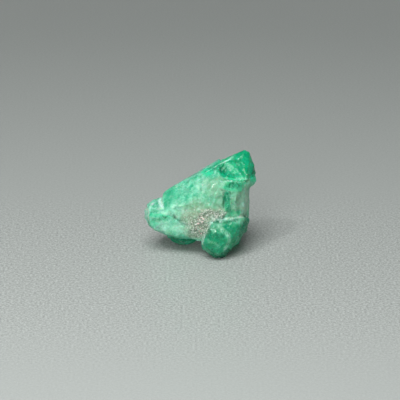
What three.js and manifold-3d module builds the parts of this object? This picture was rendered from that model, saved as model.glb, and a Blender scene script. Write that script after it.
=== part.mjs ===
// A raw emerald: several beryl crystals and a scab of host rock grown into one lump, 12 mm across.
// Millimetres, +Z up, and -Y is the front. Each lump is the list of its facet corners, written
// [right, back, up]. The lumps overlap, so that the stone is one solid, and it stands on three
// small flats at the height of the ground.
import * as THREE from "three";
import { ConvexGeometry } from "three/addons/geometries/ConvexGeometry.js";
import { mergeVertices } from "three/addons/utils/BufferGeometryUtils.js";
import Module from "manifold-3d";

const wasm = await Module();
wasm.setup();

// Driving dimensions.
const STONE_WIDTH = 12.0; // from the left end to the right shoulder
const CRISP_WEAR = 0.07; // radius that the edges of the fresh crystals are worn to
const SOFT_WEAR = 0.16; // the same on the tumbled nodule and the rock
const FINEST_EDGE = 0.005; // slivers left by the joins and cuts, thinner than this, are closed up
const BALL_DETAIL = 9; // subdivisions of the balls that cut the flake scars
const GROUND_SIZE = 40; // side of the block of ground that the feet are cut off by
const GROUND_DEPTH = 10;

// The long pale prism, which climbs from the lower left to the upper right.
const PALE_PRISM = [
  [-3.95, 0.9, 6.15], [-3.4, 1.1, 6.65], [-3.7, -1.2, 5.3], [-3.65, -1.1, 2.5],
  [-3.3, 0.9, 1.2], [-3.7, 3.4, 2.5], [-3.8, 3.2, 5.2], [-1.4, 1.2, 7.6],
  [-0.5, 1.4, 8.1], [1.0, 0.9, 9.1], [2.0, 1.0, 9.65], [2.1, 2.6, 9.5],
  [1.9, -0.7, 9.1], [2.1, -1.7, 8.5], [2.6, -2.0, 7.9], [-0.4, -2.0, 6.25],
  [1.6, -2.2, 4.6], [-1.8, -1.3, 2.2], [0.9, -0.8, 1.7], [1.0, 1.6, 0.9],
  [1.6, 3.9, 2.8], [2.6, 3.8, 7.8], [2.9, -0.6, 8.7],
];

// The broken left end, a step lower than the prism behind it.
const LEFT_STUB = [
  [-4.2, 1.2, 5.65], [-5.0, 1.1, 5.45], [-5.6, 0.9, 5.1], [-5.95, 0.6, 4.2],
  [-5.85, 0.4, 3.6], [-5.5, 0.2, 3.0], [-4.9, 0.0, 2.5], [-3.4, -0.4, 2.0],
  [-5.15, -0.9, 4.9], [-5.35, -1.0, 4.0], [-4.9, -1.0, 3.0], [-5.2, 2.6, 4.6],
  [-5.2, 2.5, 3.0], [-2.8, -1.35, 4.7], [-2.7, -1.3, 2.6], [-3.2, 1.2, 1.3],
  [-3.2, 3.1, 2.6], [-3.2, 3.1, 4.8], [-3.2, 1.3, 5.7],
];

// The saturated crystal that makes the peak at the upper right.
const GREEN_PEAK = [
  [4.75, 1.2, 11.05], [5.2, 1.1, 10.8], [5.62, 1.0, 9.6], [5.9, 0.9, 8.6],
  [5.7, 0.2, 8.3], [4.2, 0.3, 10.4], [4.9, -0.9, 8.45], [3.0, -1.0, 8.75],
  [1.7, -0.1, 9.1], [1.8, 1.1, 9.5], [3.0, 1.1, 10.25], [3.8, 1.1, 10.65],
  [5.0, 3.2, 9.4], [5.3, 3.2, 7.8], [2.2, 3.5, 8.9], [2.4, 3.3, 7.0],
];

// The cloudy grey-green column below the peak, on the right; its top is the ledge.
const CLOUDY_COLUMN = [
  [2.2, -1.85, 8.6], [3.2, -1.7, 8.6], [4.3, -1.4, 8.3], [2.4, -0.6, 8.3],
  [5.2, 0.3, 7.9], [5.2, 0.3, 5.6], [5.05, 0.2, 4.7], [5.1, -0.1, 4.0],
  [3.7, -1.9, 7.6], [4.3, -1.6, 6.4], [4.0, -2.0, 4.7], [1.6, -2.15, 7.3],
  [1.1, -2.3, 4.7], [5.2, 3.1, 7.4], [4.8, 3.3, 3.6], [1.2, 3.4, 6.8],
  [1.2, 3.3, 3.3], [2.4, -1.6, 3.6],
];

// The blunt shoulder that juts out to the right, between the peak and the column.
const RIGHT_SHOULDER = [
  [4.1, -1.2, 8.1], [5.4, -0.1, 8.2], [5.9, 0.8, 8.25], [5.95, 0.8, 7.9],
  [5.75, 0.6, 7.45], [5.1, 0.0, 7.15], [4.3, -1.2, 7.35], [5.1, 2.3, 8.1],
  [5.0, 2.4, 7.3], [3.4, 0.6, 8.5], [3.4, 0.6, 6.9],
];

// The dark rounded nodule at the front: a stubby crystal whose worn end faces forward.
const DARK_NODULE = [
  [0.2, -2.3, 1.95], [0.45, -2.3, 1.15], [1.1, -2.2, 0.55], [1.6, -2.0, 0.15],
  [2.5, -1.9, 0.15], [3.4, -1.8, 1.2], [0.5, -2.5, 2.8], [0.9, -2.9, 3.3],
  [0.9, -3.1, 2.4], [1.0, -3.15, 1.5], [1.8, -3.1, 1.1], [2.7, -2.9, 1.5],
  [3.0, -3.0, 2.4], [2.3, -3.2, 3.2], [1.5, -3.2, 3.2],
  [4.25, -1.4, 2.0], [4.9, -1.1, 2.95], [5.1, -0.9, 3.75], [5.1, -0.7, 4.0],
  [1.2, -2.7, 4.3], [4.3, -1.9, 4.4], [3.9, -2.3, 3.4], [3.7, -2.2, 2.4],
  [2.1, -1.0, 0.0], [3.6, 0.6, 0.9], [1.0, 0.4, 1.6], [4.6, 0.6, 3.6],
];

// The bump on the nodule's upper left shoulder.
const SHOULDER_BUMP = [
  [0.75, -2.35, 4.25], [0.9, -2.35, 4.65], [1.25, -2.4, 4.75], [1.5, -2.5, 4.35],
  [0.75, -2.4, 3.6], [1.3, -2.75, 3.75], [1.0, -1.6, 4.4], [1.0, -1.6, 3.6],
];

// The deep green keel under the body: its lowest corner is the left foot.
const KEEL = [
  [-3.65, -0.45, 2.25], [-3.25, 1.0, 1.25], [-2.7, 1.6, 0.4], [-2.1, 2.0, 0.05],
  [-1.4, 2.0, 0.0], [-1.4, 2.8, 0.0], [-2.3, 2.9, 0.1], [-0.8, 1.3, 0.8],
  [0.2, 1.3, 1.0], [0.3, -0.6, 1.95], [-1.9, -0.85, 2.1], [0.6, 2.7, 1.3],
  [-2.8, 2.9, 2.5], [0.6, 2.6, 3.0], [-1.0, -0.7, 2.7],
];

// The heel at the back, hidden from the front, which is the third foot.
const HEEL = [
  [3.1, 1.9, 0.0], [4.1, 2.0, 0.0], [4.2, 2.9, 0.0], [2.9, 3.0, 0.0],
  [2.2, 1.2, 1.0], [4.85, 1.0, 2.4], [4.9, 3.0, 1.7], [2.0, 3.4, 1.5],
  [1.5, 0.7, 2.7], [4.7, 0.6, 3.4], [4.4, 2.9, 4.3], [1.8, 3.1, 3.9],
];

// The scab of grainy host rock that fills the corner between the crystals.
const ROCK = [
  [-2.4, -1.3, 4.2], [-2.2, -1.3, 2.8], [-0.8, -1.95, 5.2], [-0.9, -1.8, 3.0],
  [-0.3, -1.6, 2.0], [0.15, -1.8, 2.0], [0.7, -2.2, 4.8], [2.2, -2.35, 4.7],
  [2.6, -2.2, 5.3], [1.0, -2.15, 6.1], [0.0, -2.15, 3.6], [1.5, -1.0, 3.4],
  [-1.0, -0.8, 3.0], [-1.0, -0.8, 4.4],
];

// The fresh break below the peak: a dark wall on its left, a glassy floor, the ledge under it.
const PEAK_BREAK = [
  [2.15, 0.15, 9.2], [2.85, -0.4, 8.75], [4.7, -0.75, 8.55], [4.35, 0.15, 10.05],
  [2.75, 0.75, 9.85], [1.9, -1.2, 9.7], [3.0, -2.4, 8.9], [5.0, -2.2, 8.8],
  [4.6, -1.2, 10.6], [2.6, 0.2, 10.6],
];

// The pit at the end of the stub's crack.
const CRACK_PIT = [
  [-2.95, -1.9, 4.9], [-2.7, -1.9, 4.9], [-2.3, -1.9, 3.95], [-2.85, -1.9, 3.85],
  [-2.75, -0.95, 4.35], [-2.6, -0.95, 4.2],
];

// The upright cleft between the pale prism and the cloudy column.
const UPRIGHT_CLEFT = [
  [2.45, -3.0, 7.5], [2.95, -3.0, 7.4], [2.8, -3.0, 5.1], [2.3, -3.0, 5.3],
  [2.65, -1.8, 6.7], [2.55, -1.8, 5.8],
];

// Shallow curved scars where flakes broke off the edges, each cut by a ball: its middle, its radius.
const FLAKE_SCARS = [
  { at: [-5.3, -3.0, 6.6], radius: 2.95 },
  { at: [6.6, -3.6, 6.2], radius: 3.3 },
  { at: [7.5, 5.2, 5.6], radius: 3.5 },
  { at: [6.9, 5.7, 10.1], radius: 3.85 },
  { at: [-1.8, 5.5, 9.4], radius: 3.9 },
  { at: [-7.6, 5.0, 3.9], radius: 3.8 },
  { at: [-0.4, 6.4, 0.8], radius: 4.0 },
];

// Growth terraces on the back of the pale prism. Each strip runs along the prism: where its floor
// lies, and its lower and upper edge, measured across the prism from its axis.
const PRISM_CLIMB = THREE.MathUtils.degToRad(27);
const AXIS_POINT = [-0.6, 0, 4.9];
const TERRACE_LENGTH = 5.4;
const TERRACE_CUT = 2; // how far out of the stone each cutting block reaches
const TERRACES = [
  { floor: 3.25, from: -3.2, to: -0.9 },
  { floor: 3.45, from: -0.9, to: -0.2 },
  { floor: 3.4, from: 1.5, to: 3.4 },
];

// A geometry with nothing but its shared corners.
function bare(geometry) {
  geometry.deleteAttribute("normal");
  geometry.deleteAttribute("uv");
  return mergeVertices(geometry, 1e-5);
}

// A closed geometry, as a solid that can be joined and cut.
function solid(geometry) {
  const { attributes, index } = bare(geometry);
  const vertProperties = attributes.position.array;
  const triVerts = new Uint32Array(index.array);
  return new wasm.Manifold(new wasm.Mesh({ numProp: 3, vertProperties, triVerts }));
}

// The lump that spans its corners, with every corner and edge worn round: it is stretched over
// a small bead at each corner.
function lump(corners, wear) {
  const bead = bare(new THREE.IcosahedronGeometry(wear, 0)).attributes.position;
  const points = [];
  for (const corner of corners) {
    for (let i = 0; i < bead.count; i += 1) {
      points.push(new THREE.Vector3(...corner).add(new THREE.Vector3().fromBufferAttribute(bead, i)));
    }
  }
  return solid(new ConvexGeometry(points));
}

// The ball that a flake scar is cut with.
function ball({ at, radius }) {
  return solid(new THREE.IcosahedronGeometry(radius, BALL_DETAIL).translate(...at));
}

// The block that cuts one growth terrace.
function terraceCut({ floor, from, to }) {
  const block = new THREE.BoxGeometry(TERRACE_LENGTH, TERRACE_CUT, to - from);
  block.translate(0, floor + TERRACE_CUT / 2, (from + to) / 2);
  return solid(block.rotateY(-PRISM_CLIMB).translate(...AXIS_POINT));
}

// A solid's surface at its true width, with the middle of its footprint at x = 0, y = 0.
function centredGeometry(made) {
  const { numProp, vertProperties, triVerts } = made.simplify(FINEST_EDGE).getMesh();
  const geometry = new THREE.BufferGeometry();
  geometry.setAttribute("position", new THREE.BufferAttribute(vertProperties, numProp));
  geometry.setIndex(new THREE.BufferAttribute(triVerts, 1));
  geometry.computeBoundingBox();
  const middle = geometry.boundingBox.getCenter(new THREE.Vector3());
  const size = geometry.boundingBox.getSize(new THREE.Vector3());
  geometry.translate(-middle.x, -middle.y, -geometry.boundingBox.min.z);
  geometry.scale(STONE_WIDTH / size.x, STONE_WIDTH / size.x, STONE_WIDTH / size.x);
  geometry.computeVertexNormals();
  return geometry;
}

const CRISP_LUMPS = [
  PALE_PRISM, LEFT_STUB, GREEN_PEAK, CLOUDY_COLUMN, RIGHT_SHOULDER, SHOULDER_BUMP, KEEL, HEEL,
];
const SOFT_LUMPS = [DARK_NODULE, ROCK];
const BREAKS = [PEAK_BREAK, CRACK_PIT, UPRIGHT_CLEFT];

const grown = [
  ...CRISP_LUMPS.map((corners) => lump(corners, CRISP_WEAR)),
  ...SOFT_LUMPS.map((corners) => lump(corners, SOFT_WEAR)),
];
const belowGround = new THREE.BoxGeometry(GROUND_SIZE, GROUND_SIZE, GROUND_DEPTH);
const lost = [
  ...BREAKS.map((corners) => lump(corners, CRISP_WEAR)),
  ...FLAKE_SCARS.map(ball),
  ...TERRACES.map(terraceCut),
  solid(belowGround.translate(0, 0, -GROUND_DEPTH / 2)),
];
const whole = grown.reduce((stone, piece) => stone.add(piece));
const worn = lost.reduce((stone, cut) => stone.subtract(cut), whole);

const emerald = new THREE.Mesh(
  centredGeometry(worn),
  new THREE.MeshStandardMaterial({ color: 0x5cc79a, roughness: 0.3, metalness: 0 }),
);
emerald.name = "emerald_crystal";

const specimen = new THREE.Group();
specimen.add(emerald);

export default specimen;
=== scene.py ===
# %% [markdown]
# # A raw emerald
# The real thing is one lump of rough, 12 mm across: a pale, cloudy prism of beryl that climbs to a
# clear green peak, a dark rounded nodule at its foot, and a scab of grainy rock in the corner
# between them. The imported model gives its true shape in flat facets. This script keeps that shape,
# wears it like a real crystal, and gives each part of it its own finish.

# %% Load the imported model
import math

import bpy
import numpy as np
from mathutils import Matrix, Vector, noise


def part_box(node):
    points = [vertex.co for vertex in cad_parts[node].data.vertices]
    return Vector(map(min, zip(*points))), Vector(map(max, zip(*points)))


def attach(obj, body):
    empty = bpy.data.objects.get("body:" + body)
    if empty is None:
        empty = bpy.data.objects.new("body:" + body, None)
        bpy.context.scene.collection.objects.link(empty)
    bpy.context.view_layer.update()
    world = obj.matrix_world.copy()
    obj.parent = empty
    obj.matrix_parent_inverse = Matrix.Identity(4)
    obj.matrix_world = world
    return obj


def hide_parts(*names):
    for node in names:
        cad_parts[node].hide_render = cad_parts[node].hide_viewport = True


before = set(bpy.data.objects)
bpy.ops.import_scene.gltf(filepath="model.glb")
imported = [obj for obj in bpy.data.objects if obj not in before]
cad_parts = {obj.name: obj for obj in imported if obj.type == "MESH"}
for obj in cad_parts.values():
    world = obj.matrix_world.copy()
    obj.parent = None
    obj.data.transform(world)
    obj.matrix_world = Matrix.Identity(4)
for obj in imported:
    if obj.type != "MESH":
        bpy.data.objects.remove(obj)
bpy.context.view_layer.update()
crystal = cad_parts["emerald_crystal"]
low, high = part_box("emerald_crystal")
print("the packed crystal measures", [round(1000 * side, 2) for side in high - low], "mm")

# %% [markdown]
# ## The camera
# A stone this small could be looked at from very close, but then its near parts would swell. A
# long lens from 25 cm away keeps its proportions true. The camera looks down by twenty degrees,
# and aims at a share of the stone's height, so that the stone stays framed if it is made larger.

# %% Camera
MM = 0.001
VIEW_HEIGHT = math.radians(20)
VIEW_DISTANCE = 250 * MM
NEAREST, FARTHEST = 10 * MM, 2000 * MM
AIM_SHARE = 0.5175
LENS = 211.5


def put_in_scene(name, data):
    """A new object in the scene, made of this data."""
    made = bpy.data.objects.new(name, data)
    bpy.context.scene.collection.objects.link(made)
    return made


aim = Vector((0, 0, AIM_SHARE * high.z))
camera_data = bpy.data.cameras.new("camera")
camera_data.lens = LENS
camera_data.clip_start = NEAREST
camera_data.clip_end = FARTHEST
camera = put_in_scene("camera", camera_data)
back_off = Vector((0, -math.cos(VIEW_HEIGHT), math.sin(VIEW_HEIGHT)))
camera.location = aim + VIEW_DISTANCE * back_off
camera.rotation_euler = (-back_off).to_track_quat("-Z", "Y").to_euler()
bpy.context.scene.camera = camera
print("the camera aims", round(aim.z / MM, 2), "mm above the table")

# %% [markdown]
# ## The bench
# Blender's remesher and some of its operators stop at about a tenth of a millimetre where one unit
# is a metre, which is too coarse for a stone of 12 mm. So every piece is shaped on a bench where
# one unit is one millimetre, and is brought down to its real size when it is done. Operators act
# on all that is selected, so these helpers let go of everything else first.

# %% Bench helpers
BENCH = 1000.0


def hold(*pieces):
    """Select these pieces and nothing else, and make the first one active."""
    bpy.ops.object.select_all(action="DESELECT")
    for piece in pieces:
        piece.select_set(True)
    bpy.context.view_layer.objects.active = pieces[0]


def finish_modifier(piece, kind, **settings):
    """Add one modifier with its settings, and apply it."""
    hold(piece)
    modifier = piece.modifiers.new(kind.lower(), kind)
    for name, value in settings.items():
        setattr(modifier, name, value)
    bpy.ops.object.modifier_apply(modifier=modifier.name)


def resize(piece, factor):
    """Scale a piece about the middle of the ground, and apply the scale."""
    hold(piece)
    piece.scale = (factor, factor, factor)
    bpy.ops.object.transform_apply(location=False, rotation=False, scale=True)


def join(pieces, name):
    """Make one piece of these, at its real size."""
    hold(*pieces)
    bpy.ops.object.join()
    joined = bpy.context.object
    joined.name = name
    resize(joined, 1 / BENCH)
    return joined


def read_vectors(source, key):
    """One vector a vertex, as the rows of an array."""
    flat = np.empty(3 * len(source), np.float32)
    source.foreach_get(key, flat)
    return flat.reshape(-1, 3).astype(float)


def places(piece):
    return read_vectors(piece.data.vertices, "co")


def directions(piece):
    return read_vectors(piece.data.vertex_normals, "vector")


# %% [markdown]
# ## Zones
# Clear beryl, cloudy beryl and rock pass into each other in wavy fronts. They could be painted by
# hand, or each made from a noise, but neither says where a zone lies. Here each zone is a handful
# of soft balls, and a slow noise bends their fronts. A zone is worked out once for each vertex, as
# a number from 0 to 1 that the shape and the finish both read, so that they share its fronts.

# %% Zone helpers
FRONT, BLURRED_FRONT = 0.3, 0.5  # half the width of a ball's edge, as a share of its reach
WEIGHT_LEVELS = 40  # a vertex group is filled one level at a time, which is quick


def waver(points, size, seed):
    """A smooth noise from -1 to 1 over the points, with lumps of about that size."""
    shift = Vector((17.3 * seed, -9.1 * seed, 5.7 * seed))
    return np.array([noise.noise(Vector(p) / size + shift) for p in points])


def soft_step(value, start, end):
    """0 before start, 1 past end, and smooth between them."""
    share = np.clip((value - start) / (end - start), 0, 1)
    return share * share * (3 - 2 * share)


def zone(points, balls, bend, edge=FRONT):
    """The strength of the strongest soft ball at each point, 0 well outside them all."""
    inside = np.zeros(len(points))
    for strength, centre, reach in balls:
        far = np.linalg.norm((points - np.array(centre)) / np.array(reach), axis=1)
        inside = np.maximum(inside, strength * (1 - soft_step(far + bend, 1 - edge, 1 + edge)))
    return inside


def near_lines(points, lines, bend):
    """The strength of the strongest line at each point."""
    shown = np.zeros(len(points))
    for strength, half, spots in lines:
        spots = np.array(spots, float)
        for start, end in zip(spots, spots[1:]):
            run = end - start
            share = np.clip((points - start) @ run / (run @ run), 0, 1)
            off = np.linalg.norm(points - start - share[:, None] * run, axis=1)
            off = off + 0.7 * half * bend
            shown = np.maximum(shown, strength * (1 - soft_step(off, 0.7 * half, 2.2 * half)))
    return shown


def keep(piece, name, values):
    """Store one number a vertex on the piece."""
    layer = piece.data.attributes.new(name, "FLOAT", "POINT")
    layer.data.foreach_set("value", np.asarray(values, np.float32))


def group(piece, name, weights):
    """A vertex group with these weights, for the modifiers."""
    made = piece.vertex_groups.new(name=name)
    levels = np.round(np.clip(weights, 0, 1) * WEIGHT_LEVELS).astype(int)
    for level in np.unique(levels):
        made.add(np.where(levels == level)[0].tolist(), level / WEIGHT_LEVELS, "REPLACE")
    return made.name


# %% [markdown]
# ## The green zones
# The peak, the nodule, the keel and the heel of this stone are clear, and the rest is cloudy. Its
# green is deepest where it is clear. The dark zones are a few dark clouds of its own, and painted
# shade in hollows, under ledges and on the nodule's flank and foot. Each ball is given
# as its strength, its middle as [right, back, up], and its reach each way, in millimetres.

# %% Clear, deep and dark beryl, and painted shade
GLASSY = [
    (0.52, [5.0, 0.9, 10.0], [1.7, 3.2, 1.6]),  # the peak
    (0.28, [3.0, 0.5, 9.3], [1.8, 1.8, 0.8]),  # the wall of the break
    (0.60, [2.8, -2.4, 2.0], [2.9, 2.6, 2.7]),  # the nodule
    (0.66, [-1.6, 0.4, 0.6], [3.0, 2.6, 1.2]),  # the keel
    (0.66, [3.6, 2.0, 1.2], [2.0, 2.0, 2.2]),  # the heel
    (0.18, [-5.0, 0.2, 4.4], [1.3, 2.2, 1.4]),  # the broken end
    (0.20, [-3.5, 0.2, 6.0], [0.9, 1.8, 1.1]),  # the fresh face beside it
    (0.15, [4.4, -1.2, 6.2], [1.4, 1.4, 1.8]),  # the cloudy column
    (0.40, [-0.5, 3.4, 6.5], [2.4, 1.0, 1.6]),  # a patch on the back
]
DEEP = [
    (1.00, [4.9, 0.6, 10.3], [1.4, 3.0, 1.9]),  # the peak
    (1.20, [5.0, 0.1, 10.1], [0.3, 1.0, 0.8]),  # a band down its front
    (0.85, [4.2, -0.2, 9.5], [1.5, 1.2, 0.9]),  # the break in it
    (1.20, [3.6, -0.6, 8.85], [1.7, 0.8, 0.35]),  # the floor of the break
    (0.65, [3.9, -1.7, 8.1], [1.9, 1.0, 0.7]),  # the step under it
    (1.20, [2.35, -0.1, 9.2], [0.7, 0.9, 0.6]),  # the dark wall of the break
    (0.85, [2.2, 0.7, 9.8], [1.8, 1.0, 0.5]),  # the strip along the top
    (0.80, [0.9, 0.0, 8.9], [1.2, 0.7, 0.35]),  # where the strip runs out
    (0.95, [5.7, 0.0, 8.7], [0.5, 1.6, 0.9]),  # the right edge
    (0.70, [3.1, -2.2, 7.95], [0.8, 0.6, 0.4]),  # patches under the ledge
    (0.70, [2.85, -2.4, 6.5], [0.35, 0.5, 1.3]),  # the cleft
    (0.30, [-3.4, -0.3, 6.1], [0.95, 1.6, 1.2]),  # the fresh face
    (0.55, [-4.4, -1.3, 4.5], [1.3, 0.5, 0.22]),  # a band in the broken end
    (0.45, [-5.1, -1.2, 3.55], [0.7, 0.6, 0.35]),  # a patch under it
    (1.00, [-1.6, 0.4, 0.8], [3.0, 2.8, 1.1]),  # the keel
    (0.90, [2.8, -2.4, 2.0], [2.9, 2.6, 2.7]),  # the nodule
    (0.95, [3.6, 2.0, 1.2], [2.0, 2.0, 2.2]),  # the heel
    (0.60, [-0.5, 3.4, 6.5], [2.4, 1.0, 1.6]),  # two patches on the back
    (0.55, [2.5, 3.4, 4.4], [1.4, 1.2, 1.6]),
]
# mostly painted shade: hollows, ledges, the break, the nodule's flank and foot; its clouds are its
# own
DARK_AND_SHADE = [
    (0.80, [3.25, -2.1, 8.15], [0.6, 0.5, 0.3]),  # mottles under the ledge
    (0.60, [3.9, -1.95, 8.1], [0.5, 0.5, 0.25]),
    (0.70, [2.9, -2.3, 7.45], [0.5, 0.4, 0.4]),
    (1.20, [5.0, -1.5, 2.1], [1.2, 1.6, 2.2]),  # the nodule's flank
    (1.10, [2.0, -2.4, 0.5], [2.6, 2.2, 1.0]),  # its foot
    (0.40, [0.1, -1.8, 7.5], [0.12, 0.3, 0.16]),  # a lone pit
    (0.80, [2.3, -0.1, 9.3], [0.6, 0.8, 0.6]),  # the dark facet in the break
    (0.55, [3.5, -0.7, 8.8], [1.6, 0.6, 0.22]),  # the floor of the break
    (0.45, [3.0, 0.45, 10.0], [0.9, 0.3, 0.15]),  # under its upper lip
    (0.75, [0.7, -3.3, 3.0], [0.9, 0.6, 0.55]),  # clouds in the nodule
    (0.70, [2.0, -3.6, 3.0], [0.7, 0.5, 0.4]),
    (0.40, [1.2, -3.4, 1.3], [1.0, 0.5, 0.3]),
    (0.90, [5.55, -0.1, 8.75], [0.5, 0.9, 0.35]),  # the peak's right foot
]
print("green zones:", len(GLASSY), "clear,", len(DEEP), "deep,", len(DARK_AND_SHADE), "dark")

# %% [markdown]
# ## The pale zones
# Cloudy beryl is milky where it is frosted or finely cracked, greyish along the column, and warm
# near the rock, which has stained it. Broken zones are rougher than the prism's grown faces. A
# soft-edged zone is smoothed, and its edges get no white rims.

# %% Milky, grey, warm, broken and rocky zones
MILKY = [
    (0.60, [-5.9, 0.0, 4.3], [0.40, 1.5, 1.1]),  # the end's thin pale rim
    (0.15, [-5.1, 0.0, 4.4], [1.4, 2.0, 1.6]),  # the broken end
    (0.75, [2.9, -2.8, 3.95], [2.0, 0.9, 0.55]),  # the nodule's top facet
    (0.60, [3.05, -3.3, 2.5], [0.40, 0.6, 1.2]),  # the ridge down its side
    (0.35, [0.1, -1.1, 7.9], [0.7, 0.9, 1.3]),  # a pale streak up the body
    (0.50, [-4.3, -1.5, 3.0], [1.5, 0.8, 0.9]),  # the frosted facet
    (0.45, [-2.4, -1.6, 5.2], [1.7, 0.8, 0.8]),  # a pale belt under the ridge
    (0.35, [-2.2, -1.8, 3.2], [1.4, 0.8, 0.9]),  # the body's lower edge
    (1.00, [-4.1, 0.0, 5.5], [0.3, 1.2, 0.7]),  # the white wedge
    (0.70, [-3.5, -1.2, 4.75], [0.9, 0.5, 0.22]),  # frost above the crack
    (0.50, [4.9, -1.3, 6.0], [0.9, 1.0, 1.5]),  # the cloudy column
    (0.55, [3.0, 0.05, 9.35], [0.35, 0.5, 0.35]),  # two veils in the break
    (0.20, [3.9, -0.1, 9.5], [0.7, 0.5, 0.25]),
    (0.60, [1.2, -3.2, 3.95], [0.4, 0.4, 0.25]),  # the nodule's bright brow
    (0.60, [1.0, 3.2, 5.0], [1.8, 0.9, 1.0]),  # the back
]
GREY = [
    (1.0, [4.6, -1.5, 6.0], [2.2, 1.8, 2.4]),  # the cloudy column
    (0.9, [4.6, -1.2, 8.2], [1.6, 0.9, 0.55]),  # the ledge above it
    (1.0, [2.2, -1.8, 7.5], [2.0, 1.0, 1.5]),  # the body under the break
    (1.0, [0.6, -2.2, 5.6], [2.7, 0.9, 1.2]),  # the body above the seam
    (0.5, [1.4, -3.4, 1.7], [0.8, 0.5, 0.35]),  # in the nodule
]
WARM = [
    (0.8, [-1.3, -2.1, 4.6], [1.2, 0.8, 0.7]),  # around the seam
    (1.0, [0.2, -2.5, 4.1], [1.6, 1.0, 1.6]),
    (0.7, [-0.8, -2.1, 2.9], [1.2, 0.9, 0.9]),
    (0.6, [1.6, -2.6, 5.3], [1.3, 0.8, 0.6]),
    (0.8, [-0.6, 3.0, 4.4], [1.4, 0.9, 1.0]),  # the back
]
BROKEN = [
    (1.0, [-5.0, 0.2, 4.4], [1.6, 2.4, 1.7]),  # the broken end
    (0.8, [2.6, -2.6, 2.0], [3.0, 2.6, 2.6]),  # the nodule
    (1.0, [0.3, -2.3, 3.8], [2.4, 1.0, 2.0]),  # the seam
    (0.9, [3.4, 0.2, 9.2], [2.6, 2.2, 1.1]),  # the break in the peak
    (0.7, [3.6, -2.0, 6.8], [2.2, 1.2, 2.2]),  # the cloudy column
    (0.6, [-1.6, 0.4, 0.8], [2.8, 2.6, 1.3]),  # the keel
    (0.8, [3.6, 2.4, 2.0], [2.2, 2.0, 2.6]),  # the heel
    (0.5, [-0.5, 3.2, 5.0], [3.0, 1.2, 2.0]),  # the back
]
ROCK = [
    (0.90, [0.1, -2.5, 3.9], [0.9, 0.9, 1.2]),  # the seam
    (0.90, [1.3, -2.6, 5.1], [1.2, 0.8, 0.6]),
    (0.80, [-0.3, -2.3, 2.7], [0.9, 0.8, 0.8]),
    (0.45, [-1.3, -2.0, 4.3], [1.1, 0.8, 0.8]),
    (0.80, [-0.6, 3.0, 4.4], [1.0, 0.8, 0.7]),  # the back
]
SOFT_EDGED = [
    (0.9, [4.0, -0.1, 9.5], [1.5, 1.2, 1.1]),  # the break in the peak
]
print("pale zones:", len(MILKY), "milky,", len(GREY), "grey,", len(WARM), "warm")
print("rough zones:", len(BROKEN), "broken,", len(ROCK), "rocky")

# %% [markdown]
# ## Lines on the skin
# Frosted rims are pale lines, and cracks are dark ones. Painted shade darkens the cleft, the crack's
# pit and the strip behind the rim of the stepped top, and that rim's pale line is a painted
# highlight.
# Each is given as its strength, half its width, and the spots that it runs through, in millimetres.
# A row of balls would look like beads, so a line is measured from the straight run between each two
# of its spots.

# %% Lines, and all the zones at once
NODULE_EDGES = [
    # above the nodule
    (0.6, 0.09, [[1.3, -2.8, 4.65], [2.1, -2.75, 4.6], [3, -2.5, 4.6], [4, -2.2, 4.6],
                 [4.9, -1.5, 4.5]]),
    # beside it
    (0.6, 0.12, [[1.2, -3, 4.4], [0.6, -3, 3.4], [0.35, -2.95, 2.5], [0.2, -2.8, 1.9]]),
]
PALE_LINES = [
    *NODULE_EDGES,
    # the rim of the stepped top, a painted highlight along its lit edge
    (0.6, 0.05, [[0.6, 0.1, 8.8], [1.5, 0.3, 9.3], [2.3, 0.4, 9.75], [3.2, 0.4, 10.2]]),
    # the ledge
    (0.20, 0.06, [[2.3, -1.75, 8.55], [3.15, -2.05, 8.58], [4.0, -1.85, 8.45]]),
    # an arc in the broken end
    (0.6, 0.14, [[-4.9, 0.3, 5.25], [-5.35, -0.5, 5.0], [-5.55, -0.9, 4.5], [-5.5, -1.1, 3.9]]),
    # the white wedge
    (0.75, 0.13, [[-4.35, 0.5, 5.65], [-4.2, 0.0, 5.45], [-4.05, -0.4, 5.25], [-3.8, -0.8, 5.0]]),
    # a vein in the nodule, and the ridge down its side
    (0.25, 0.10, [[0.7, -3.6, 2.6], [1.1, -3.65, 2.3], [1.6, -3.6, 2.2], [1.9, -3.6, 1.9]]),
    (0.40, 0.18, [[2.4, -3.4, 3.6], [3.0, -3.3, 3.0], [3.1, -3.3, 2.1], [2.7, -3.3, 1.4]]),
    # a growth step on the back
    (0.5, 0.05, [[-1.5, 3.3, 3.4], [-0.4, 3.6, 5.0], [0.2, 3.4, 6.6], [1.4, 3.0, 8.0]]),
]
DARK_AND_SHADE_LINES = [
    # the crack above the nodule
    (0.8, 0.12, [[1.3, -2.95, 4.45], [2.1, -2.95, 4.32], [3, -2.7, 4.35], [3.8, -2.5, 4.35],
                 [5, -1, 4.2]]),
    # painted shadow behind the rim of the stepped top
    (0.35, 0.12, [[0.6, 0.35, 8.95], [1.5, 0.55, 9.45], [2.4, 0.7, 9.95], [3.2, 0.7, 10.35]]),
    # painted shade in the cleft
    (0.7, 0.22, [[2.6, -2.4, 7.5], [2.95, -2.45, 6.9], [2.8, -2.45, 6.3], [3.05, -2.45, 5.5]]),
    # the crack beside the broken end, and painted shade in its pit
    (0.5, 0.10, [[-4.2, -1.5, 4.4], [-3.2, -1.35, 4.3], [-2.6, -1.2, 4.2]]),
    (0.6, 0.07, [[-2.75, -1.75, 4.35], [-2.5, -1.8, 4.15], [-2.2, -1.85, 4.1]]),
]
WAVES = [(0.30, 1.1), (0.16, 0.45)]  # how far each noise bends a front, and the size of its waves
FEET, BODY = 0.05, 0.5  # the skin isn't worked below the first height, and fully above the other


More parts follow.
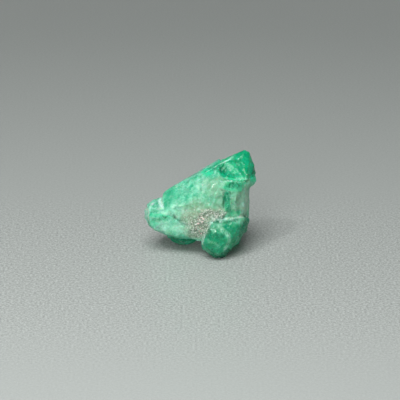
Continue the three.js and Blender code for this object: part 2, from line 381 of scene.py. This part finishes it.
def marks_at(points):
    """Every zone's strength at these points."""
    bend = sum(height * waver(points, size, seed) for seed, (height, size) in enumerate(WAVES, 1))
    rock = zone(points, ROCK, 1.5 * bend, BLURRED_FRONT)
    dark_and_shade_spots = zone(points, DARK_AND_SHADE, 1.8 * bend, BLURRED_FRONT)
    return {
        "rock": rock,
        "glassy": zone(points, GLASSY, bend) * (1 - rock),
        "deep": zone(points, DEEP, 1.3 * bend) * (1 - rock),
        "milky": zone(points, MILKY, bend, BLURRED_FRONT),
        "grey": zone(points, GREY, bend, BLURRED_FRONT),
        "warm": zone(points, WARM, bend, BLURRED_FRONT),
        "dark": np.maximum(dark_and_shade_spots, near_lines(points, DARK_AND_SHADE_LINES, bend)),
        "line": near_lines(points, PALE_LINES, bend),
        "broken": zone(points, BROKEN, 0.5 * bend, 0.4),
        "worked": soft_step(points[:, 2], FEET, BODY),
    }


print("lines on the skin:", len(PALE_LINES), "pale,", len(DARK_AND_SHADE_LINES), "dark")

# %% [markdown]
# ## The stone, copied
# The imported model's facets are large and dead flat. Subdividing them would keep their long thin
# triangles. So a copy is merged into one skin, and a voxel remesh lays an even net over it, which
# gives the next steps something to push on.

# %% Copy
COARSE_NET = 0.09
MERGE_WITHIN = 0.0005


def copy_of_crystal(name):
    """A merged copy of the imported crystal, on the bench."""
    mesh = crystal.data.copy()
    mesh.name = name
    mesh.materials.clear()
    piece = put_in_scene(name, mesh)
    resize(piece, BENCH)
    bpy.ops.object.mode_set(mode="EDIT")
    bpy.ops.mesh.select_all(action="SELECT")
    bpy.ops.mesh.remove_doubles(threshold=MERGE_WITHIN)
    bpy.ops.mesh.normals_make_consistent(inside=False)
    bpy.ops.object.mode_set(mode="OBJECT")
    return piece


def net(piece, size):
    """Lay an even net of quads over a piece."""
    finish_modifier(piece, "REMESH", mode="VOXEL", voxel_size=size, adaptivity=0.0)


stone = copy_of_crystal("emerald_stone")
net(stone, COARSE_NET)
print("the coarse net has", len(stone.data.vertices), "vertices")

# %% [markdown]
# ## Chips
# Beryl breaks in small flat and shell-like chips with crisp edges. Pushing the skin about with
# noise makes soft hills. Decimating those hills turns each into a few flat chips, larger where the
# skin is calm, as on the prism's own faces, and smaller where it is rough.

# %% Broken zones and chips
WEAR, BREAKS = 0.16, 0.36  # how far the skin is pushed all over, and where it is broken
LEAST_BROKEN = 0.2  # the share of that second push that the grown faces get
ROUNDING = 30  # rounds of smoothing
CHIPPED_SHARE = 0.075  # the share of the faces that is left


def texture(name, kind, **settings):
    """A noise for the modifiers to read."""
    made = bpy.data.textures.new(name, kind)
    for key, value in settings.items():
        setattr(made, key, value)
    return made


def push(piece, pattern, height, weights, guide=None):
    """Push the skin in and out by a pattern, at most about half its height each way."""
    finish_modifier(
        piece,
        "DISPLACE",
        texture=pattern,
        strength=height,
        mid_level=0.5,
        vertex_group=weights,
        texture_coords="OBJECT" if guide else "LOCAL",
        texture_coords_object=guide,
    )


ROUNDED = [
    (0.8, [2.4, -3.0, 1.8], [2.6, 2.0, 2.4]),  # the nodule
    (0.5, [-5.2, 0.0, 4.2], [1.2, 2.0, 1.4]),  # the broken end
    (1.0, [-2.65, -1.2, 4.25], [0.5, 0.5, 0.4]),  # the crack's pit
    (1.0, [4.5, -0.4, 9.5], [1.0, 1.0, 1.2]),  # the right lip of the break
    (0.8, [3.2, 0.3, 10.0], [1.3, 0.7, 0.45]),  # its upper lip
]
marks = marks_at(places(stone))
rounded = group(stone, "rounded", marks["worked"] * zone(places(stone), ROUNDED, 0.0))
finish_modifier(stone, "SMOOTH", factor=0.5, iterations=ROUNDING, vertex_group=rounded)
calm = group(stone, "calm", marks["worked"])
rough = LEAST_BROKEN + (1 - LEAST_BROKEN) * marks["broken"]
broken = group(stone, "broken", marks["worked"] * rough)
push(stone, texture("wear", "CLOUDS", noise_scale=1.3, noise_depth=1), WEAR, calm)
push(stone, texture("breaks", "CLOUDS", noise_scale=0.5, noise_depth=2), BREAKS, broken)
finish_modifier(stone, "DECIMATE", ratio=CHIPPED_SHARE)
print("chipped to", len(stone.data.polygons), "faces")

# %% [markdown]
# ## Growth lines and grain
# A finer net over the chips rounds their edges a little. Then come the fine lines that run along
# the prism, small pits, and the crust of grains on the rock. The growth lines use a noise that is
# stretched along the prism, by reading it through a guide that is turned and stretched that way.
# The feet are left alone, because the stone stands on them.

# %% Fine relief
FINE_NET = 0.071
SOFTENING = 14
PRISM_CLIMB = math.radians(27)
LINE_STRETCH = 6
LINE_HEIGHT, GRAIN_HEIGHT, PIT_HEIGHT = 0.035, 0.16, 0.05

net(stone, FINE_NET)
marks = marks_at(places(stone))
soft_edged = zone(places(stone), SOFT_EDGED, 0.0, 0.4)
softened = group(stone, "softened", marks["worked"] * soft_edged)
finish_modifier(stone, "SMOOTH", factor=0.5, iterations=SOFTENING, vertex_group=softened)
on_beryl = group(stone, "on_beryl", marks["worked"] * (1 - marks["rock"]))
on_rock = group(stone, "on_rock", marks["worked"] * marks["rock"])
anywhere = group(stone, "anywhere", marks["worked"])

guide = put_in_scene("guide", None)
guide.rotation_euler = (0, -PRISM_CLIMB, 0)
guide.scale = (LINE_STRETCH, 1, 1)
bpy.context.view_layer.update()
growth_lines = texture("lines", "CLOUDS", noise_scale=0.2, noise_depth=1)
push(stone, growth_lines, LINE_HEIGHT, on_beryl, guide)
push(stone, texture("grain", "VORONOI", noise_scale=0.22), GRAIN_HEIGHT, on_rock)
push(stone, texture("pits", "CLOUDS", noise_scale=0.14, noise_depth=2), PIT_HEIGHT, anywhere)
print("the fine net has", len(stone.data.vertices), "vertices")

# %% [markdown]
# ## Shell-like waves
# Where beryl breaks like glass, faint rings spread over the break from the spot that was hit. The
# wood noise makes rings. The same guide moves their middle to that spot, and a soft ball says how
# much of the skin they fill.

# %% Ripples
RIPPLE_HEIGHT = 0.035
RIPPLE_STRETCH = 1.1
RIPPLES = [
    # the spot that the rings spread from, and the middle and reach of the ball that they fill
    ([-3.2, -1.2, 3.7], [-5.0, -0.3, 4.5], [1.4, 2.2, 1.4]),  # the broken end
    ([1.3, -3.9, 2.9], [2.4, -3.0, 2.2], [2.2, 1.6, 1.8]),  # the nodule
]
rings = texture(
    "rings", "WOOD",
    wood_type="RINGNOISE", noise_basis_2="SAW", noise_scale=0.9, turbulence=6.0,
)
guide.rotation_euler = (0, 0, 0)
guide.scale = (RIPPLE_STRETCH, RIPPLE_STRETCH, RIPPLE_STRETCH)
for number, (spot, centre, reach) in enumerate(RIPPLES):
    guide.location = spot
    bpy.context.view_layer.update()
    filled = zone(places(stone), [(1.0, centre, reach)], 0.0, 0.4)
    rippled = group(stone, f"ripples_{number}", marks["worked"] * filled)
    push(stone, rings, RIPPLE_HEIGHT, rippled, guide)
bpy.data.objects.remove(guide)
shares = [round(float(marks[name].mean()), 2) for name in ("glassy", "rock")]
print("of the skin, clear beryl and rock take", shares)

# %% [markdown]
# ## Worn edges, painted glints and painted crease shade
# Edges that stand out are rubbed white, which is partly wear and partly a painted highlight where
# they glint, and creases are painted darker green as shade. A finish could find them by its
# Pointiness output, but that can't be evened out, or kept out of a zone. So each vertex is compared
# with its neighbours here: on an edge it stands out of them, and in a crease it lies below them.

# %% Rims, partly painted glints, and painted crease shade
EVENING_ROUNDS = 2
# how far a vertex stands out or lies low, in millimetres, where a rim or crease starts and is full
RIM_FROM, RIM_FULL = 0.0035, 0.010
CREASE_FROM, CREASE_FULL = 0.003, 0.0085


def edge_ends(piece):
    """The numbers of the vertices at the two ends of each edge."""
    pairs = np.empty(2 * len(piece.data.edges), np.int32)
    piece.data.edges.foreach_get("vertices", pairs)
    return pairs.reshape(-1, 2).T


def sharpness(piece):
    """How far each vertex stands out of its neighbours, in millimetres."""
    spots, outward = places(piece), directions(piece)
    a, b = edge_ends(piece)
    total, count = np.zeros_like(spots), np.zeros(len(spots))
    for one, other in ((a, b), (b, a)):
        for axis in range(3):
            total[:, axis] += np.bincount(one, spots[other, axis], len(spots))
        count += np.bincount(one, minlength=len(spots))
    return -np.sum((total / np.maximum(count, 1)[:, None] - spots) * outward, axis=1)


def smoothed(piece, values, rounds):
    """The values averaged with their neighbours, some rounds."""
    a, b = edge_ends(piece)
    count = len(values)
    shared_by = 1 + np.bincount(a, minlength=count) + np.bincount(b, minlength=count)
    for _ in range(rounds):
        total = values + np.bincount(a, values[b], count) + np.bincount(b, values[a], count)
        values = total / shared_by
    return values


stands_out = smoothed(stone, sharpness(stone), EVENING_ROUNDS)
marks["rim"] = (1 - soft_edged) * soft_step(stands_out, RIM_FROM, RIM_FULL)
marks["crease_shade"] = (1 - soft_edged) * soft_step(-stands_out, CREASE_FROM, CREASE_FULL)
print("sharpness from", [round(float(v), 4) for v in np.percentile(stands_out, [1, 50, 99])])

# %% [markdown]
# ## Down to real size
# The zones that the finish reads are stored on the mesh. A stone that stands by itself rests on
# small flat spots, and pushing the skin has left these a little uneven. A bisect along the table
# cuts them flat and closes the cut.

# %% Zones kept on the mesh, and the flat feet
for name in ("glassy", "deep", "dark", "milky", "grey", "warm", "rock", "line", "rim", "crease_shade"):
    keep(stone, name, marks[name])
hold(stone)
bpy.ops.object.mode_set(mode="EDIT")
bpy.ops.mesh.select_all(action="SELECT")
bpy.ops.mesh.bisect(plane_co=(0, 0, 0), plane_no=(0, 0, 1), clear_inner=True, use_fill=True)
bpy.ops.object.mode_set(mode="OBJECT")
resize(stone, 1 / BENCH)
bpy.ops.object.shade_smooth()
print("the worn stone has", len(stone.data.polygons), "faces")

# %% [markdown]
# ## A small language for finishes
# A finish is a network of nodes, and each sum in it is a node too. Wrapping each socket in a small
# class lets those sums be written as plain Python, which is easier to read than a list of links.

# %% Finish helpers
class Wire:
    """A socket that can be added, subtracted and multiplied like a number."""

    def __init__(self, finish, socket):
        self.finish = finish
        self.socket = socket

    def __add__(self, other):
        return self.finish.sum("ADD", self, other)

    def __sub__(self, other):
        return self.finish.sum("SUBTRACT", self, other)

    def __rsub__(self, other):
        return self.finish.sum("SUBTRACT", other, self)

    def __mul__(self, other):
        return self.finish.sum("MULTIPLY", self, other)

    __radd__ = __add__
    __rmul__ = __mul__


class Finish:
    """One material, made of nodes."""

    def __init__(self, name):
        self.material = bpy.data.materials.new(name)
        self.material.use_nodes = True
        self.tree = self.material.node_tree
        self.tree.nodes.clear()
        self.output = self.tree.nodes.new("ShaderNodeOutputMaterial")

    def node(self, kind, settings=None, inputs=None, out=0):
        """Add a node: its settings first, then its sockets, by name or number."""
        made = self.tree.nodes.new(kind)
        for name, value in (settings or {}).items():
            setattr(made, name, value)
        for name, value in (inputs or {}).items():
            if isinstance(value, Wire):
                self.tree.links.new(value.socket, made.inputs[name])
            else:
                made.inputs[name].default_value = value
        return Wire(self, made.outputs[out])

    def sum(self, operation, a, b):
        return self.node("ShaderNodeMath", {"operation": operation}, {0: a, 1: b})

    def vector(self, operation, inputs, out=0):
        return self.node("ShaderNodeVectorMath", {"operation": operation}, inputs, out)

    def ramp(self, value, start, end):
        """0 before start, 1 past end, smooth between."""
        return self.node(
            "ShaderNodeMapRange",
            {"interpolation_type": "SMOOTHSTEP"},
            {"Value": value, "From Min": start, "From Max": end},
        )

    def blend(self, share, a, b):
        """Colour a where share is 0, and b where it is 1."""
        settings = {"data_type": "RGBA", "clamp_factor": True}
        return self.node("ShaderNodeMix", settings, {0: share, 6: a, 7: b}, out=2)

    def blend_shaders(self, share, a, b):
        return self.node("ShaderNodeMixShader", None, {0: share, 1: a, 2: b})

    def mark(self, name):
        """A number stored on the mesh."""
        return self.node("ShaderNodeAttribute", {"attribute_name": name}, out="Fac")

    def place(self):
        """Where on the piece a point lies."""
        return self.node("ShaderNodeTexCoord", out="Object")

    def clouds(self, size, detail=2.0, stretch=None, rough=0.5):
        """Noise with lumps of about that size in millimetres."""
        place = self.place()
        if stretch:
            place = self.node(
                "ShaderNodeMapping",
                {"vector_type": "TEXTURE"},
                {"Vector": place, "Rotation": (0, -PRISM_CLIMB, 0), "Scale": stretch},
            )
        scale = 1 / (size * MM)
        inputs = {"Vector": place, "Scale": scale, "Detail": detail, "Roughness": rough}
        return self.node("ShaderNodeTexNoise", None, inputs)

    def shader(self, **inputs):
        """The main shader, with each socket's name written with _ for its spaces."""
        named = {name.replace("_", " "): value for name, value in inputs.items()}
        return self.node("ShaderNodeBsdfPrincipled", None, named)

    def show(self, surface, volume=None):
        """Make this the finish's surface, and its inside if one is given."""
        self.tree.links.new(surface.socket, self.output.inputs["Surface"])
        if volume:
            self.tree.links.new(volume.socket, self.output.inputs["Volume"])
        return self.material


def colour(red, green, blue):
    """A screen colour from 0 to 255 as the linear colour that nodes use."""
    shares = [c / 255 for c in (red, green, blue)]
    return [((c + 0.055) / 1.055) ** 2.4 if c > 0.04045 else c / 12.92 for c in shares] + [1.0]


# %% [markdown]
# ## The emerald's skin
# A broken crystal glitters because it is covered in tiny flat chips, each of which tilts its own
# way. They are finer than the mesh, so the finish tilts the normal: a Voronoi noise gives each
# cell one colour, which is read as a lean. Where the stone is clear its skin is smooth.

# %% Chipped skin
CHIPS = [(0.45, 0.35), (0.16, 0.5)]  # how wide each kind of chip is, and how far it leans
SKIN_RELIEF = 0.03 * MM


def chip_normal(finish, chips, share):
    """The skin's normal, tilted a little another way on each small flat chip."""
    turned = finish.node("ShaderNodeNewGeometry", out="Normal")
    for size, tilt in chips:
        cells = {"Vector": finish.place(), "Scale": 1 / (size * MM)}
        cell = finish.node("ShaderNodeTexVoronoi", None, cells, out="Color")
        lean = finish.vector("SUBTRACT", {0: cell, 1: (0.5, 0.5, 0.5)})
        lean = finish.vector("SCALE", {0: lean, "Scale": tilt * share})
        turned = finish.vector("ADD", {0: lean, 1: turned})
    return finish.vector("NORMALIZE", {0: turned})


emerald = Finish("emerald")
glassy, deep, dark, rim = [emerald.mark(name) for name in ("glassy", "deep", "dark", "rim")]
tilted = chip_normal(emerald, CHIPS, 1 - glassy)
relief = emerald.clouds(0.11, 3, rough=0.6) * (1 - glassy)
bump = emerald.node(
    "ShaderNodeBump", None,
    {"Strength": 0.6, "Distance": SKIN_RELIEF, "Normal": tilted, "Height": relief},
)
print("the skin is chipped at", [size for size, tilt in CHIPS], "mm")

# %% [markdown]
# ## Cloudy beryl's colour
# Natural emerald is never one green. Fine frosting and streaks along the prism mottle it from a
# dull to a bright green, and each zone lays its own tone over that, from the weakest to the
# strongest; the dark zones and the creases lay painted shade. Bright specks, frosted edges, which
# are partly painted glints, and pale lines come last, because they lie on the skin.

# %% Cloudy beryl's colour
DULL, BRIGHT = colour(56, 176, 136), colour(132, 212, 180)
GREYISH, WARMISH, MILK = colour(130, 178, 146), colour(172, 190, 160), colour(190, 236, 215)
DEEP_GREEN, DARK_GREEN, SPECK = colour(0, 200, 146), colour(0, 104, 74), colour(96, 214, 166)
FROST_AND_GLINT, PALE_LINE = colour(220, 248, 235), colour(215, 250, 235)

mottle = emerald.clouds(0.5, 4, rough=0.6)
streaks = emerald.clouds(0.22, 3, stretch=(5, 1, 1))
sugar_grain = emerald.clouds(0.14, 2)
frosting = emerald.clouds(0.15, 3, rough=0.8)

tint = emerald.ramp(mottle * 0.4 + streaks * 0.15 + frosting * 0.45, 0.41, 0.59)
body = emerald.blend(tint, DULL, BRIGHT)
body = emerald.blend(emerald.mark("grey") * 0.8, body, GREYISH)
body = emerald.blend(emerald.mark("warm") * 0.7, body, WARMISH)
body = emerald.blend(emerald.mark("milky") + 0.8 * mottle - 0.45, body, MILK)
depth = deep * (1.25 - 0.4 * emerald.ramp(mottle, 0.4, 0.65)) + 0.3 * (mottle - 0.5)
body = emerald.blend(depth, body, DEEP_GREEN)
# painted shade: the dark zones, partly the stone's own dark clouds, and the creases darken the green
darkness_and_shade = dark * (1.15 - 0.7 * emerald.ramp(frosting, 0.40, 0.62)) + 0.4 * emerald.mark("crease_shade")
body = emerald.blend(darkness_and_shade, body, DARK_GREEN)
specks = deep * (0.35 - 0.3 * dark) * emerald.ramp(frosting, 0.54, 0.66)
body = emerald.blend(specks, body, SPECK)
# rubbed white edges: partly wear, partly a painted highlight where edges glint
frost_and_glint = rim * emerald.ramp(sugar_grain, 0.35, 0.6) * (0.6 - 0.5 * glassy)
body = emerald.blend(frost_and_glint, body, FROST_AND_GLINT)
pale = emerald.mark("line") * emerald.ramp(sugar_grain, 0.30, 0.52)
body = emerald.blend(pale, body, PALE_LINE)
print("the cloudy beryl's colour takes", len(emerald.tree.nodes), "nodes")

# %% [markdown]
# ## Cloudy, clear and rocky
# Light enters cloudy beryl and is scattered back, green most of all, which is subsurface
# scattering. Clear beryl is plain transmission at beryl's own index of refraction, and the
# chromium that tints it is an absorption all through the stone: the thicker the stone, the deeper
# its green. Rock is neither. The zones mix the three.

# %% Emerald finish
BERYL_IOR, ROCK_IOR = 1.58, 1.5
CLEAR_TINT = colour(76, 246, 194)
ROCK_DARK, ROCK_LIGHT = colour(58, 78, 62), colour(165, 178, 160)

cloudy = emerald.shader(
    Base_Color=body, Roughness=0.42 - 0.25 * glassy, IOR=BERYL_IOR, Specular_IOR_Level=0.30,
    Subsurface_Weight=0.8, Subsurface_Scale=MM, Subsurface_Radius=(0.2, 1.0, 0.65),
    Coat_Weight=0.18 - 0.14 * deep, Coat_Roughness=0.06, Normal=bump,
)
rock_colour = emerald.blend(emerald.ramp(sugar_grain, 0.36, 0.62), ROCK_DARK, ROCK_LIGHT)
rocky = emerald.shader(Base_Color=rock_colour, Roughness=0.5, IOR=ROCK_IOR, Normal=bump)
clear_beryl = emerald.shader(
    Base_Color=CLEAR_TINT, Roughness=0.08, IOR=BERYL_IOR, Transmission_Weight=1.0, Normal=bump,
)
tinted_inside = emerald.node(
    "ShaderNodeVolumeAbsorption", None, {"Color": (0.0, 0.97, 0.85, 1.0), "Density": 400.0}
)
skin = emerald.blend_shaders(emerald.mark("rock") * 0.8, cloudy, rocky)
clear_share = glassy * (1 - 0.8 * pale) * (1 - 0.5 * rim) * (1 - 0.7 * dark)
skin = emerald.blend_shaders(clear_share, skin, clear_beryl)
stone.data.materials.append(emerald.show(skin, tinted_inside))
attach(stone, "root")
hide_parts("emerald_crystal")
print("the emerald finish has", len(emerald.tree.nodes), "nodes")

# %% [markdown]
# ## Healed cracks
# Natural emerald is full of old cracks that grew shut again, and stayed as thin whitish veils.
# They show through the clear nodule and the clear peak. A noise in the finish could only draw them
# on the skin. So each is modelled as a small sheet under it: a grid with its corners cut away,
# bent by a slow noise, and given a thin body.

# %% Veils
VEIL_BODY = 0.015
VEIL_BEND = 0.5
VEIL_SQUARES = 14
VEIL_CUTS = (20, 75, 150, 205, 290)  # which way each cut faces, in degrees
VEIL_CUT_SHARE = 0.42  # how far from the middle each cut is, as a share of the sheet's width
VEILS = [
    # where the middle of each sheet lies, how the sheet is turned, in degrees, and how wide it is
    ([4.7, 0.7, 9.7], (75, 10, 20), 1.1),  # three in the peak
    ([4.4, 1.5, 9.1], (60, -25, 50), 1.3),
    ([3.2, 1.3, 9.1], (35, 15, 0), 1.2),
    ([1.7, -2.6, 2.6], (65, 20, -15), 1.2),  # four in the nodule
    ([2.8, -2.6, 2.7], (50, -30, 25), 1.3),
    ([2.3, -2.5, 1.5], (80, 0, 10), 1.1),
    ([3.6, -1.9, 2.4], (70, 35, 60), 1.1),
]
waves = texture("waves", "CLOUDS", noise_scale=0.7, noise_depth=1)


def model_veil(place, turn, width):
    """One thin wavy sheet on the bench."""
    bpy.ops.object.select_all(action="DESELECT")
    bpy.ops.mesh.primitive_grid_add(
        x_subdivisions=VEIL_SQUARES, y_subdivisions=VEIL_SQUARES, size=width
    )
    veil = bpy.context.object
    bpy.ops.object.mode_set(mode="EDIT")
    for degrees in VEIL_CUTS:
        side = Vector((math.cos(math.radians(degrees)), math.sin(math.radians(degrees)), 0))
        cut = side * VEIL_CUT_SHARE * width
        bpy.ops.mesh.select_all(action="SELECT")
        bpy.ops.mesh.bisect(plane_co=cut, plane_no=side, clear_outer=True)
    bpy.ops.object.mode_set(mode="OBJECT")
    veil.rotation_euler = [math.radians(angle) for angle in turn]
    veil.location = place
    bpy.context.view_layer.update()
    finish_modifier(
        veil, "DISPLACE",
        texture=waves, texture_coords="GLOBAL", strength=VEIL_BEND, mid_level=0.5,
    )
    finish_modifier(veil, "SOLIDIFY", thickness=VEIL_BODY)
    bpy.ops.object.transform_apply(location=True, rotation=True, scale=False)
    return veil


veils = join([model_veil(*veil) for veil in VEILS], "healed_veils")
bpy.ops.object.shade_smooth()
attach(veils, "root")
print("the veils have", len(veils.data.polygons), "faces")

# %% [markdown]
# ## The veils' lace
# A healed crack is a net of tiny bubbles with clear beryl between them. Modelling each bubble
# would take far too many faces, so a fine noise cuts holes in the sheet through its Alpha, and
# makes it whiter where it is thick.

# %% Lacy finish
THIN_LACE, THICK_LACE = colour(120, 225, 180), colour(225, 250, 238)

healed = Finish("healed_cracks")
lace = healed.ramp(healed.clouds(0.22, 3, rough=0.7), 0.44, 0.60)
veil_colour = healed.blend(lace, THIN_LACE, THICK_LACE)
lacy = healed.shader(Base_Color=veil_colour, Roughness=0.4, Alpha=lace)
veils.data.materials.append(healed.show(lacy))
print("the lacy finish has", len(healed.tree.nodes), "nodes")

# %% [markdown]
# ## Crumbs of the host rock
# The corner between the prism and the nodule holds sugary white crumbs, a few pinkish ones, and
# dark flakes of mica. One small crystal is modelled: a ball of few faces, squashed and cut so that
# it has flat sides. Copies of it, each with its own mesh, are turned, scaled and pressed into the
# skin where the rock is, and are then joined into one piece for each mineral.

# %% One crumb, and how it is strewn
SEED = 11
CRUMB_CUTS = [
    # which way each flat side faces
    (1, 0.2, 0.1), (-0.7, 0.7, 0.2), (0.1, -0.8, 0.5), (-0.3, -0.2, -0.9), (0.2, 0.3, 0.9),
]
CUT_AT = 0.36
STRAY, SUNK = 0.02, 0.15  # how far a crumb strays, and the share of its size that is pressed in
chance = np.random.default_rng(SEED)


def model_crumb(name, flat):
    """One small crystal on the bench, about one unit across."""
    bpy.ops.object.select_all(action="DESELECT")
    bpy.ops.mesh.primitive_ico_sphere_add(subdivisions=1, radius=0.5)
    crumb = bpy.context.object
    crumb.name = name
    bpy.ops.object.mode_set(mode="EDIT")
    for side in CRUMB_CUTS:
        out = Vector(side).normalized()
        bpy.ops.mesh.select_all(action="SELECT")
        bpy.ops.mesh.bisect(plane_co=out * CUT_AT, plane_no=out, clear_outer=True, use_fill=True)
    bpy.ops.mesh.select_all(action="SELECT")
    bpy.ops.transform.resize(value=(1.0, 0.8, flat))
    bpy.ops.mesh.normals_make_consistent(inside=False)
    bpy.ops.object.mode_set(mode="OBJECT")
    return crumb


def scatter(name, crumb, count, smallest, largest, density):
    """Press copies of a crumb into the skin, more of them where the density is higher."""
    copies = []
    for spot in chance.choice(len(skin_places), count, p=density / density.sum()):
        size = smallest + (largest - smallest) * chance.random() ** 2
        axis = Vector(chance.normal(size=4)).xyz.normalized()
        place = Vector(skin_places[spot]) + Vector(chance.normal(size=3)) * STRAY
        place -= Vector(skin_normals[spot]) * size * SUNK
        mesh = crumb.data.copy()
        mesh.transform(
            Matrix.Translation(place)
            @ Matrix.Rotation(chance.random() * math.tau, 4, axis)
            @ Matrix.Scale(size, 4)
        )
        copies.append(put_in_scene(name, mesh))
    joined = join(copies, name)
    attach(joined, "root")
    print(name, "has", len(joined.data.polygons), "faces")
    return joined


sugar = model_crumb("sugar_crumb", 0.8)
flake = model_crumb("mica_flake", 0.25)
print("one crumb has", len(sugar.data.polygons), "faces")

# %% [markdown]
# ## Where the crumbs lie
# The white crumbs crowd along the top of the seam and the nodule's edges, with a stray one
# wherever the stone is broken. The pinkish ones keep to one patch, and the mica lies lower in the
# seam. Each is strewn by a density, which is higher where more of them lie.

# %% Crumbs
CLEAR_OF_TABLE = 0.4
UPPER_SEAM = [(1, [1.3, -2.7, 5.1], [1.6, 0.8, 0.8]), (0.5, [0, -2.5, 3.4], [1.2, 1, 1.6])]
PINKISH = [(1, [0.1, -2.7, 4.3], [0.5, 0.6, 0.4]), (0.6, [0, -2.6, 3.2], [0.6, 0.6, 0.6])]

skin_places, skin_normals = places(stone) * BENCH, directions(stone)
skin_marks = marks_at(skin_places)
off_floor = skin_places[:, 2] > CLEAR_OF_TABLE
in_seam = np.maximum(skin_marks["rock"], 0.25 * skin_marks["warm"]) ** 1.5
upper = zone(skin_places, UPPER_SEAM, 0)
by_edges = near_lines(skin_places, NODULE_EDGES, 0.0)
strays = 0.002 * skin_marks["broken"] + 0.01 * skin_marks["grey"]
white_grains = scatter(
    "white_grains", sugar, count=760, smallest=0.07, largest=0.19,
    density=off_floor * (in_seam * (0.25 + upper) + 0.5 * by_edges + strays),
)
pink_grains = scatter(
    "pink_grains", sugar, count=30, smallest=0.12, largest=0.30,
    density=off_floor * (zone(skin_places, PINKISH, 0) + 0.01 * in_seam),
)
dark_grains = scatter(
    "dark_grains", flake, count=260, smallest=0.07, largest=0.19,
    density=off_floor * (in_seam * (1.1 - upper) + 1e-4),
)
for crumb in (sugar, flake):
    bpy.data.objects.remove(crumb)

# %% [markdown]
# ## Crumb finishes
# The white crumbs are sugary calcite and quartz, which let a little light in, the pinkish ones are
# stained, and the flakes are dark and shinier. One recipe makes all three, with a slow noise that
# gives neighbouring crumbs different tones.

# %% Crumb finishes
CRUMB_IOR = 1.54


def crumb_finish(name, light, shade, roughness):
    """A mineral whose crumbs differ a little in tone."""
    made = Finish(name)
    tone = made.ramp(made.clouds(0.25, 2), 0.35, 0.65)
    shader = made.shader(
        Base_Color=made.blend(tone, shade, light), Roughness=roughness, IOR=CRUMB_IOR,
        Subsurface_Weight=0.3, Subsurface_Scale=0.2 * MM, Subsurface_Radius=(1.0, 1.0, 1.0),
    )
    return made.show(shader)


CRUMB_FINISHES = [
    # the piece, its finish's name, its light and its dark tone, and its roughness
    (white_grains, "sugary_crumbs", colour(226, 234, 224), colour(140, 164, 146), 0.25),
    (pink_grains, "pinkish_crumbs", colour(238, 214, 208), colour(190, 158, 150), 0.3),
    (dark_grains, "mica_flakes", colour(70, 84, 66), colour(34, 42, 34), 0.2),
]
for grains, *recipe in CRUMB_FINISHES:
    grains.data.materials.append(crumb_finish(*recipe))
    print(grains.name, "has", len(grains.data.materials), "finish")

# %% [markdown]
# ## The table and the wall
# The stone stands on a matt grey table that curves up into a wall, as a studio's paper sweep does.
# A plane and an upright wall would show a line between them. So a disk is extruded at its rim,
# step by step, and each step is steeper than the last.

# %% Floor
FLOOR_RADIUS = 0.24
FLOOR_SIDES = 96
WALL_STEPS = 10
WALL_STEP = 0.028

bpy.ops.object.select_all(action="DESELECT")
bpy.ops.mesh.primitive_circle_add(vertices=FLOOR_SIDES, radius=FLOOR_RADIUS, fill_type="NGON")
floor = bpy.context.object
floor.name = "floor"
bpy.ops.object.mode_set(mode="EDIT")
bpy.ops.mesh.select_mode(type="EDGE")
bpy.ops.mesh.select_all(action="SELECT")
bpy.ops.mesh.region_to_loop()
radius = FLOOR_RADIUS
for step in range(WALL_STEPS):
    climb = math.radians(90) * (step + 0.5) / WALL_STEPS
    rise = (0, 0, WALL_STEP * math.sin(climb))
    bpy.ops.mesh.extrude_edges_move(TRANSFORM_OT_translate={"value": rise})
    wider = radius + WALL_STEP * math.cos(climb)
    bpy.ops.transform.resize(value=(wider / radius, wider / radius, 1))
    radius = wider
bpy.ops.object.mode_set(mode="OBJECT")
bpy.ops.object.shade_smooth()
print("the floor and its wall are", round(2 * radius, 2), "m across")

# %% [markdown]
# ## The table's finish
# Fine specks make the table matt, and are strongest near the stone, where they can be told apart.
# The wall is paler and given a faint painted glow, though it is no lamp, which keeps the background
# even, where more lamps would put second shadows under the stone.

# %% Floor finish
PAPER_DARK, PAPER_LIGHT = colour(136, 141, 138), colour(204, 209, 206)
CARD = colour(240, 243, 241)
NO_GLOW, WALL_GLOW = (0, 0, 0, 1), (0.05, 0.052, 0.051, 1)

matt = Finish("matt_table")
back = matt.node("ShaderNodeSeparateXYZ", None, {0: matt.place()}, out="Y")
near_stone = matt.ramp(back, -35 * MM, -15 * MM) * (1 - matt.ramp(back, 4 * MM, 22 * MM))
speck = (matt.clouds(0.25, 2, rough=0.9) - 0.5) * (0.6 + 2.4 * near_stone) + 0.5
paper = matt.blend(speck, PAPER_DARK, PAPER_LIGHT)
far = matt.ramp(matt.vector("LENGTH", {0: matt.place()}, out="Value"), 80 * MM, 240 * MM)
card = matt.shader(
    Base_Color=matt.blend(far, paper, CARD), Roughness=0.42,
    # a painted glow on the far wall, which is no lamp
    Emission_Color=matt.blend(far, NO_GLOW, WALL_GLOW), Emission_Strength=1.0,
)
floor.data.materials.append(matt.show(card))
print("the floor finish has", len(matt.tree.nodes), "nodes")

# %% [markdown]
# ## Soft studio light
# A wide soft lamp above and a little in front gives the stone its round shadow. A weaker one in
# front opens the shaded faces, and a small one makes the glints on the edges. All three stay 18 cm
# or more from the stone, so that a camera near it doesn't run into them. A dim, even room fills in
# the rest.

# %% Lights
LAMP_AIM = Vector((0, 0, 0.004))
LAMPS = [
    # the name of each lamp, where it is, how wide it is, and its power
    ("main_softbox", (-0.02, -0.085, 0.165), 0.12, 0.27),
    ("front_fill", (-0.04, -0.20, 0.11), 0.12, 0.215),
    ("glint", (-0.07, -0.10, 0.15), 0.014, 0.055),
]
ROOM_TONE, ROOM_LIGHT = (0.9, 0.95, 0.93, 1), 0.09

for name, place, width, power in LAMPS:
    data = bpy.data.lights.new(name, "AREA")
    data.shape = "DISK"
    data.size = width
    data.energy = power
    lamp = put_in_scene(name, data)
    lamp.location = place
    lamp.rotation_euler = (LAMP_AIM - Vector(place)).to_track_quat("-Z", "Y").to_euler()

room = bpy.data.worlds.new("studio")
bpy.context.scene.world = room
room.use_nodes = True
background = room.node_tree.nodes["Background"]
background.inputs["Color"].default_value = ROOM_TONE
background.inputs["Strength"].default_value = ROOM_LIGHT
bpy.context.scene.view_settings.view_transform = "Standard"
print("lit by", len(LAMPS), "lamps")
